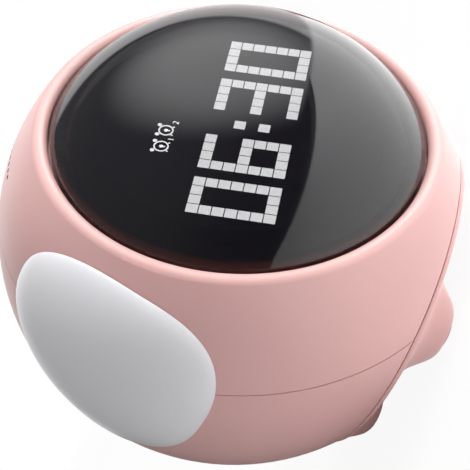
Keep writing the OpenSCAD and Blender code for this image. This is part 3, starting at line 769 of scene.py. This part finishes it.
@dataclass
class Ears:
    """The two milky lamp shades."""

    rise: float = 20.0
    half_h: float = 19.7
    half_w: float = 17.0
    mid: float = 2.7
    back: float = 1.0
    square: float = 2.4
    taper: float = 0.17
    bulge: float = 3.12
    crown: float = 2.2
    wall: float = 1.4
    gap: float = 0.12
    peg_r: float = 1.4
    peg_share: float = 0.72
    peg_turns: tuple[float, ...] = (45.0, 135.0, 225.0, 315.0)
    peg_through: float = 1.5
    peg_cover: float = 0.25
    around: int = 144
    out_steps: int = 30
    in_steps: int = 12
    pole_share: float = 0.001
    sharp: float = 60.0

    def outline(self, share: float, turn: float) -> Point2:
        """Point of the ear's outline, drawn in to a share of its full size.

        Args:
            share: 1 for the rim and 0 for the middle.
            turn: Angle in radians.

        Returns:
            Place up along the body and towards the back.
        """
        up = math.copysign(abs(math.cos(turn)) ** (2 / self.square), math.cos(turn))
        out = math.copysign(abs(math.sin(turn)) ** (2 / self.square), math.sin(turn))
        return (self.mid + share * self.half_h * up,
                self.back + share * self.half_w * out * (1 - self.taper * up))

    def crown_point(self, share: float, turn: float, lift: float, rim: float) -> Point3:
        """Point of the crown over the body.

        Args:
            share: Share of the outline.
            turn: Angle in radians.
            lift: Height of the crown above the body.
            rim: Share of the outline where the crown ends.

        Returns:
            The point on the ear's axis frame.
        """
        x, y = self.outline(share, turn)
        ball = math.sqrt((SIZES.body_r + self.gap) ** 2 - x * x - y * y)
        return x, y, ball + lift * math.sqrt(max(0.0, 1 - (share / rim) ** self.crown))

    def frame(self, side: Side) -> Matrix:
        """Frame on an ear's axis: Z points out of the ear and X up along it.

        Args:
            side: Side of the clock that the ear is on.

        Returns:
            The frame.
        """
        left = Matrix.Rotation(math.radians(self.rise - 90), 4, "Y")
        flip = Matrix.Scale(-1 if side is Side.RIGHT else 1, 4, Vector((1, 0, 0)))
        return SIZES.on_body() @ flip @ left

    def mesh(self) -> MeshLines:
        """Points and faces of one ear with its pegs.

        Returns:
            The mesh on the ear's axis frame.
        """
        made = MeshLines()
        turns = [2 * math.pi * k / self.around for k in range(self.around)]
        rim = 1 - self.wall / self.half_w
        outer = (math.sin(math.pi / 2 * i / self.out_steps) for i in range(self.out_steps + 1))
        inner = (rim * math.cos(math.pi / 2 * i / self.in_steps) for i in range(self.in_steps + 1))
        shares = [max(self.pole_share, s) for s in outer]
        hollow = [max(self.pole_share, s) for s in inner]
        rings = [[self.crown_point(s, a, self.bulge, 1.0) for a in turns] for s in shares]
        rings += [[self.crown_point(s, a, self.bulge - self.wall, rim) for a in turns] for s in hollow]
        made.solid_of_rings(rings)
        for turn in map(math.radians, self.peg_turns):
            x, y = self.outline(self.peg_share, turn)
            low = math.sqrt(SIZES.inner_r**2 - x * x - y * y) - self.peg_through
            edge = self.peg_share + self.peg_r / self.half_w
            high = self.crown_point(edge, turn, self.bulge, 1.0)[2] - self.wall * self.peg_cover
            made.disc((x, y), self.peg_r, low, high)
        return made

    def build(self) -> None:
        """Makes both ears in place of their CAD solids."""
        for side in Side:
            name = f"{side.name.lower()}_ear"
            made = self.mesh()
            ear = new_piece(f"{name}_pillow", made.points, made.faces, self.frame(side), Finishes.milk,
                            BodyName.CLOCK, self.sharp)
            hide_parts(f"{name}_shade")


@dataclass
class Base:
    """The base cover: a shallow dish with a thin rim and four soft feet."""

    rim_w: float = 1.0
    edge_w: float = 1.2
    dish_w: float = 6.0
    blend_w: float = 4.0
    groove: float = 0.5
    foot_x: float = 16.1
    foot_y: float = 13.5
    foot_shift: float = 1.0
    tip_r: float = 4.2
    skirt_r: float = 9.5
    around: int = 288
    across: int = 100
    pole_share: float = 0.001
    sharp: float = 50.0

    @property
    def rim_r(self) -> float:
        """Radius of the cover's rim, where it meets the ball."""
        return math.sqrt(SIZES.body_r**2 - SIZES.base_top**2)

    def depth(self, x: float, y: float) -> float:
        """Depth of the underside below the top of the rim.

        Args:
            x: Place across the cover.
            y: Place from front to back.

        Returns:
            The depth, with the rim, the dish and the feet.
        """
        inward = self.rim_r - math.hypot(x, y)
        away = math.hypot(abs(x) - self.foot_x, abs(y - self.foot_shift) - self.foot_y)
        dish = (SIZES.base_w - self.rim_w) * smooth(inward / self.dish_w)
        foot = SIZES.foot_h * smooth((self.skirt_r - away) / (self.skirt_r - self.tip_r))
        return self.rim_w * arch(inward / self.edge_w) + (dish + foot) * arch(inward / self.blend_w)

    def build(self) -> None:
        """Makes the cover in place of its CAD solid."""
        inner_r = self.rim_r - self.groove
        pole_r = self.rim_r * self.pole_share
        steps = [(i / self.across) ** 2 for i in range(self.across)] + [1 - self.pole_share]
        rings = [[(x, y, -height) for x, y in circle((0.0, 0.0), radius, self.around)] for radius, height in
                 ((pole_r, SIZES.base_drop), (inner_r, SIZES.base_drop), (inner_r, SIZES.base_top))]
        for share in steps:
            places = circle((0.0, 0.0), self.rim_r * (1 - share), self.around)
            rings.append([(x, y, -SIZES.base_top - self.depth(x, y)) for x, y in places])
        made = MeshLines()
        made.solid_of_rings(rings)
        cover = new_piece("base_shell", made.points, made.faces, SIZES.on_body(), Finishes.pink,
                          BodyName.CLOCK, self.sharp)
        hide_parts("base_cover")


@dataclass(frozen=True)
class AlarmSign:
    """An alarm sign: a small clock with two bells, two feet and a number."""

    ring_r: float = 1.3
    stroke: float = 0.26
    hub_r: float = 0.34
    hand: float = 0.7
    bell: Point2 = (1.17, 1.28)
    bell_r: float = 0.38
    ankle: Point2 = (0.86, -1.02)
    toe: Point2 = (1.12, -1.3)
    number: Point2 = (1.95, -1.75)
    number_w: tuple[float, float] = (0.2, 0.17)
    number_lines: tuple[tuple[Point2, ...], ...] = (
        ((0.0, 0.0), (0.0, 0.95)),
        ((0.0, 0.9), (0.45, 0.9), (0.45, 0.5), (0.0, 0.05), (0.5, 0.05)),
    )

    def add(self, mesh: MeshLines, middle: Point2, which: int, low: float, high: float) -> None:
        """Adds one sign to a mesh.

        Args:
            mesh: Mesh to add to.
            middle: Middle of the sign on the face.
            which: 0 for the first alarm and 1 for the second.
            low: Bottom of the strokes.
            high: Top of the strokes.
        """
        x, y = middle
        mesh.hoop(middle, self.ring_r, self.ring_r - self.stroke, low, high)
        mesh.disc(middle, self.hub_r, low, high)
        mesh.bar(middle, (x, y - self.hand), self.stroke, low, high)
        for side in Side:
            bell, ankle, toe = ((x + side.value * u, y + v) for u, v in (self.bell, self.ankle, self.toe))
            mesh.disc(bell, self.bell_r, low, high)
            mesh.bar(ankle, toe, self.stroke, low, high)
        right, foot = x + self.number[0], y + self.number[1]
        line = [(right + u, foot + v) for u, v in self.number_lines[which]]
        for start, end in zip(line, line[1:]):
            mesh.bar(start, end, self.number_w[which], low, high)


@dataclass
class Display:
    """What glows behind the lens: the time in square pixels and two alarm signs."""

    pitch: float = 2.1
    cell: float = 1.93
    cell_clip: float = 0.06
    drop: float = 2.3
    columns: int = 21
    rows: int = 7
    digit_w: int = 4
    sign: AlarmSign = AlarmSign()
    sign_y: float = 11.8
    sign_x: tuple[float, float] = (-7.8, -3.8)
    glow_h: float = 0.02
    digits: tuple[tuple[int, str], ...] = ((0, "0"), (5, "6"), (12, "3"), (17, "0"))
    colon: tuple[tuple[int, int], ...] = ((10, 2), (10, 4))

    def lit_cells(self) -> list[tuple[int, int]]:
        """Finds the cells that show the time.

        Returns:
            Columns and rows of the lit cells; row 0 is the top one.
        """
        bars = {"0": "top left right bottom", "6": "top left middle low_right bottom",
                "3": "top right middle bottom"}
        last = self.rows - 1
        half = self.rows // 2
        cells = set(self.colon)
        for start, digit in self.digits:
            cols = range(start, start + self.digit_w)
            lines = {"top": [(c, 0) for c in cols], "middle": [(c, half) for c in cols],
                     "bottom": [(c, last) for c in cols], "left": [(start, r) for r in range(self.rows)],
                     "right": [(cols[-1], r) for r in range(self.rows)],
                     "low_right": [(cols[-1], r) for r in range(half, self.rows)]}
            cells.update(cell for name in bars[digit].split() for cell in lines[name])
        return sorted(cells)

    def build(self) -> None:
        """Makes the lit cells and the signs on the diffuser."""
        low = SIZES.diffuser_top_t
        high = low + self.glow_h
        cells = MeshLines()
        for column, row in self.lit_cells():
            x = (column - (self.columns - 1) / 2) * self.pitch
            y = ((self.rows - 1) / 2 - row) * self.pitch - self.drop
            self.tile(cells, x, y, low, high)
        new_piece("lit_pixels", cells.points, cells.faces, SIZES.on_face(), Finishes.glow,
                  BodyName.CLOCK)
        signs = MeshLines()
        for which, x in enumerate(self.sign_x):
            self.sign.add(signs, (x, self.sign_y), which, low, high)
        new_piece("lit_alarm_signs", signs.points, signs.faces, SIZES.on_face(), Finishes.sign,
                  BodyName.CLOCK)

    def tile(self, mesh: MeshLines, x: float, y: float, low: float, high: float) -> None:
        """Adds one lit cell with clipped corners.

        Args:
            mesh: Mesh to add to.
            x: Middle of the cell across the face.
            y: Middle of the cell up the face.
            low: Bottom of the cell.
            high: Top of the cell.
        """
        half, clip = self.cell / 2, self.cell_clip
        corners = [(half, half - clip), (half - clip, half), (clip - half, half), (-half, half - clip),
                   (-half, clip - half), (clip - half, -half), (half - clip, -half), (half, clip - half)]
        mesh.prism([(x + u, y + v) for u, v in corners], low, high)


@dataclass
class Back:
    """Marks on the three keys and contacts in the charging inlet."""

    pitch: float = 10.0
    rise: float = 5.0
    mark_half: float = 1.25
    mark_w: float = 0.5
    mark_h: float = 0.04
    mark_steps: int = 10
    ring_sunk: float = 0.1
    cap_r: float = 2.9
    dome: float = 0.5
    contact_count: int = 12
    contact_w: float = 0.26
    contact_pitch: float = 0.5
    contact_len: float = 3.4
    contact_in: float = 0.3
    contact_sunk: float = 0.02
    contact_proud: float = 0.03

    def cap_height(self, x: float, y: float) -> float:
        """Height of a key's domed cap above the flat on the back."""
        return SIZES.button_proud - self.dome * math.hypot(x, y) / self.cap_r

    def stroke(self, mesh: MeshLines, turn: float) -> None:
        """Adds one straight mark that follows the dome of a cap.

        Args:
            mesh: Mesh to add to.
            turn: Direction of the mark in radians.
        """
        along = Vector((math.cos(turn), math.sin(turn)))
        off = Vector((-along.y, along.x)) * self.mark_w / 2
        rings = []
        for i in range(self.mark_steps + 1):
            mid = along * (2 * i / self.mark_steps - 1) * self.mark_half
            a, b = mid + off, mid - off
            ha, hb = self.cap_height(*a), self.cap_height(*b)
            rings.append([(a.x, a.y, ha + self.mark_h), (b.x, b.y, hb + self.mark_h),
                          (b.x, b.y, hb - self.mark_h), (a.x, a.y, ha - self.mark_h)])
        mesh.solid_of_rings(rings)

    def build(self) -> None:
        """Makes the marks of the keys and the contacts."""
        minus, ring, plus = MeshLines(), MeshLines(), MeshLines()
        self.stroke(minus, 0.0)
        self.stroke(plus, 0.0)
        self.stroke(plus, math.pi / 2)
        top = self.cap_height(self.mark_half, 0.0)
        ring.hoop((0.0, 0.0), self.mark_half, self.mark_half - self.mark_w, top - self.ring_sunk,
                  top + 2 * self.mark_h)
        keys = ((minus, BodyName.DOWN, -1), (ring, BodyName.SET, 0), (plus, BodyName.UP, 1))
        for mesh, body, step in keys:
            place = SIZES.on_back(step * self.pitch, self.rise)
            new_piece(f"{body.value}_mark", mesh.points, mesh.faces, place, Finishes.mark, body)
        self.contacts()

    def contacts(self) -> None:
        """Makes the gilt contacts on both sides of the inlet's tongue."""
        low, high = (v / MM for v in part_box("usb_tongue"))
        mesh = MeshLines()
        for i in range(self.contact_count):
            x = (i - (self.contact_count - 1) / 2) * self.contact_pitch
            tip = high.y - self.contact_in
            start, end = (x, tip), (x, tip - self.contact_len)
            mesh.bar(start, end, self.contact_w, high.z - self.contact_sunk, high.z + self.contact_proud)
            mesh.bar(start, end, self.contact_w, low.z - self.contact_proud, low.z + self.contact_sunk)
        new_piece("inlet_contacts", mesh.points, mesh.faces, Matrix.Scale(MM, 4), Finishes.gold,
                  BodyName.CLOCK)


@dataclass(frozen=True)
class SoftBox:
    """One square studio lamp that looks at the clock.

    A sheen lamp shows only as gloss, on the pieces that it names.
    """

    name: str
    direction: Point3
    away: float
    side: float
    watts: float
    colour: Colour = WHITE
    sheen_on: tuple[str, ...] = ()

    def build(self) -> None:
        """Adds the lamp."""
        lamp = bpy.data.lights.new(self.name, "AREA")
        lamp.size, lamp.energy, lamp.color = self.side, self.watts, self.colour
        made = bpy.data.objects.new(self.name, lamp)
        aim = Vector(self.direction).normalized()
        made.location = SIZES.centre * MM + aim * self.away
        made.rotation_euler = aim.to_track_quat("Z", "Y").to_euler()
        made.visible_glossy = bool(self.sheen_on)
        made.visible_diffuse = not self.sheen_on
        if self.sheen_on:
            shown = bpy.data.collections.new(f"{self.name}_shows_on")
            for node in self.sheen_on:
                shown.objects.link(frame["nodes"][node])
            made.light_linking.receiver_collection = shown
        bpy.context.scene.collection.objects.link(made)


@dataclass(frozen=True)
class MirrorView:
    """What polished faces see round the clock: a bright floor and back, and a soft key light."""

    dark: float = 0.06
    top: float = 0.16
    top_fade: Fade = Fade(UPWARD, 0.5, 1.0)
    back: float = 1.25
    back_fade: Fade = Fade((0.0, 1.0, -0.9), -0.1, 0.1)
    right_fade: Fade = Fade(RIGHTWARD, 0.25, 0.5)
    key: float = 2.0
    key_fade: Fade = Fade((0.65, -0.60, 0.47), 0.84, 0.32)
    floor_left: float = 0.85
    floor_right: float = 2.4
    floor_near_fade: Fade = Fade((0.48, 0.88, 0.0), -0.150, 0.012)
    floor_right_fade: Fade = Fade(RIGHTWARD, -0.02, 0.2)
    floor_front_fade: Fade = Fade((0.3, -0.95, 0.0), 0.0, 0.03)

    def around(self, tree: ShaderTree) -> Value:
        """Brightness of the surroundings by direction.

        Args:
            tree: Tree of the world.

        Returns:
            The brightness.
        """
        aim = tree.outlook()
        fades = (self.back_fade, self.right_fade, self.top_fade, self.key_fade)
        back, right, top, key = (fade.of(aim) for fade in fades)
        return self.dark + self.top * top + self.back * back * right + self.key * key

    def floor(self, tree: ShaderTree) -> Value:
        """Brightness of the floor by place.

        Args:
            tree: Tree of the floor's material.

        Returns:
            The brightness.
        """
        fades = (self.floor_near_fade, self.floor_right_fade, self.floor_front_fade)
        near, right, front = (fade.of(tree.place()) for fade in fades)
        level = self.floor_left + (self.floor_right - self.floor_left) * right
        return self.dark + near * front * level


@dataclass
class Studio:
    """Pale floor, white surroundings, soft lamps and the camera."""

    azimuth: float = -43.64
    elevation: float = 9.02
    roll: float = -68.0
    away: float = 255.01
    focal_px: float = 1394.14
    shown_at: Point2 = (234.43, 228.99)
    sensor: float = 36.0
    clip: Point2 = (0.01, 20.0)
    floor_r: float = 0.55
    floor_steps: int = 96
    floor_drop: float = 2e-5
    floor_colour: Colour = (0.86, 0.86, 0.87)
    floor_white: float = 0.92
    floor_end: float = 0.8
    floor_end_soft: float = 0.3
    floor_glow: float = 0.42
    floor_glow_fade: Fade = Fade(FORWARD, 0.01, 0.11)
    ambient: float = 0.33
    ambient_rear: float = 0.21
    ambient_fade: Fade = Fade((0.5, -0.77, 0.4), 0.0, 1.6)
    mirrors: MirrorView = MirrorView()
    lamps: tuple[SoftBox, ...] = (
        SoftBox("key_lamp", (0.42, -0.75, 0.51), 0.8, 0.35, 6.4),
        SoftBox("top_lamp", (0.05, 0.25, 0.97), 0.8, 0.4, 1.9),
        SoftBox("sheen_lamp", (0.80, -0.50, 0.10), 0.8, 0.5, 5.0, (1.0, 0.96, 0.91), ("front_housing",)),
    )

    def build(self) -> None:
        """Sets up everything round the clock."""
        scene = bpy.context.scene
        scene.view_settings.view_transform = "Standard"
        self.camera()
        self.floor()
        self.surroundings()
        for lamp in self.lamps:
            lamp.build()

    def camera(self) -> None:
        """Adds the camera where the photograph was taken from, rolled as it is."""
        turn, rise, roll = (math.radians(v) for v in (self.azimuth, self.elevation, self.roll))
        back = Vector((math.sin(turn) * math.cos(rise), -math.cos(turn) * math.cos(rise), math.sin(rise)))
        right = (-back).cross(Vector((0, 0, 1))).normalized()
        up = right.cross(-back)
        across = math.cos(roll) * right + math.sin(roll) * up
        above = -math.sin(roll) * right + math.cos(roll) * up
        half = PHOTO_SIDE / 2
        aside = [(v - half) / self.focal_px * self.away for v in self.shown_at]
        place = SIZES.centre - (across * aside[0] - above * aside[1] - back * self.away)
        data = bpy.data.cameras.new("photo_camera")
        data.sensor_width = self.sensor
        data.lens = self.focal_px * self.sensor / PHOTO_SIDE
        data.clip_start, data.clip_end = self.clip
        made = bpy.data.objects.new("photo_camera", data)
        rotation = Matrix((across, above, back)).transposed().to_4x4()
        made.matrix_world = Matrix.Translation(place * MM) @ rotation
        bpy.context.scene.collection.objects.link(made)
        bpy.context.scene.camera = made

    def floor(self) -> None:
        """Adds the pale floor; it fades out before its edge."""
        mesh = bpy.data.meshes.new("floor")
        rim = [(x, y, -self.floor_drop) for x, y in circle((0.0, 0.0), self.floor_r, self.floor_steps)]
        mesh.from_pydata(rim, [], [list(range(len(rim)))])
        made = bpy.data.objects.new("floor", mesh)
        bpy.context.scene.collection.objects.link(made)
        material = bpy.data.materials.new("pale_floor")
        material.use_nodes = True
        tree = ShaderTree(material.node_tree)
        matt = tree.node("ShaderNodeBsdfDiffuse", {}, {"Color": self.floor_colour})
        front = self.floor_glow_fade.of(tree.place())
        glow = tree.node("ShaderNodeEmission", {}, {"Strength": self.floor_glow * tree.ray("Diffuse") * front})
        lit = tree.blend(tree.ray("Camera") * self.floor_white, matt, tree.emission(1.0))
        lit = tree.node("ShaderNodeAddShader", {}, {0: lit, 1: glow})
        shown = tree.blend(tree.ray("Glossy"), lit, tree.emission(self.mirrors.floor(tree)))
        far = tree.node("ShaderNodeVectorMath", {"operation": "LENGTH"}, {0: tree.place()}, "Value")
        fade = far.above(self.floor_r * self.floor_end, self.floor_r * self.floor_end_soft)
        clear = tree.node("ShaderNodeBsdfTransparent", {}, {})
        tree.node("ShaderNodeOutputMaterial", {}, {"Surface": tree.blend(fade, shown, clear)})
        mesh.materials.append(material)

    def surroundings(self) -> None:
        """Sets white surroundings that mirrors see as a bright wall behind a dark front."""
        world = bpy.data.worlds.new("studio")
        world.use_nodes = True
        bpy.context.scene.world = world
        tree = ShaderTree(world.node_tree)
        direct = tree.ray("Camera").larger(tree.ray("Transmission"))
        mirror = tree.ray("Glossy")
        front = self.ambient_fade.of(tree.outlook())
        fill = self.ambient_rear + (self.ambient - self.ambient_rear) * front
        level = fill * (1 - direct) + direct
        level = level * (1 - mirror) + self.mirrors.around(tree) * mirror
        light = tree.node("ShaderNodeBackground", {}, {"Color": WHITE, "Strength": level})
        tree.node("ShaderNodeOutputWorld", {}, {"Surface": light})


@dataclass
class CarriedPieces:
    """CAD solids that keep their shape and get a finish."""

    nodes: dict[str, bpy.types.Object]

    def build(self) -> None:
        """Dresses every CAD solid."""
        groups: dict[Finish, str] = {
            Finishes.pink: "front_housing rear_housing base_cover",
            Finishes.key: "down_button set_button up_button",
            Finishes.milk: "left_ear_shade right_ear_shade",
            Finishes.film: "pixel_diffuser",
            Finishes.smoke: "display_lens",
            Finishes.black: "pixel_baffle switch_bodies usb_tongue speaker_cone down_plunger set_plunger up_plunger "
                            "speaker_lead battery_lead",
            Finishes.mask: "led_board",
            Finishes.board: "main_board left_ear_lamp right_ear_lamp",
            Finishes.grey: "speaker_frame speaker_bracket display_ribbon",
            Finishes.lead: "left_ear_lead right_ear_lead",
            Finishes.foot: "foot_pads",
            Finishes.foam: "lens_gasket battery_pad",
            Finishes.steel: "base_screws bracket_screws board_screws speaker_magnet usb_socket",
            Finishes.dark_steel: "display_screws",
            Finishes.wrap: "battery_cell",
        }
        for finish, names in groups.items():
            for name in names.split():
                dress(self.nodes[name], finish)
                LOG.info("%s: %s", name, finish.name)


def main() -> None:
    """Dresses the clock piece by piece."""
    logging.basicConfig(level=logging.INFO, format="%(name)s %(message)s")
    Studio().build()
    CarriedPieces(frame["nodes"]).build()
    for group in (Ears(), Base(), Display(), Back()):
        group.build()
        LOG.info("%s done", type(group).__name__)


if __name__ == "__main__":
    main()
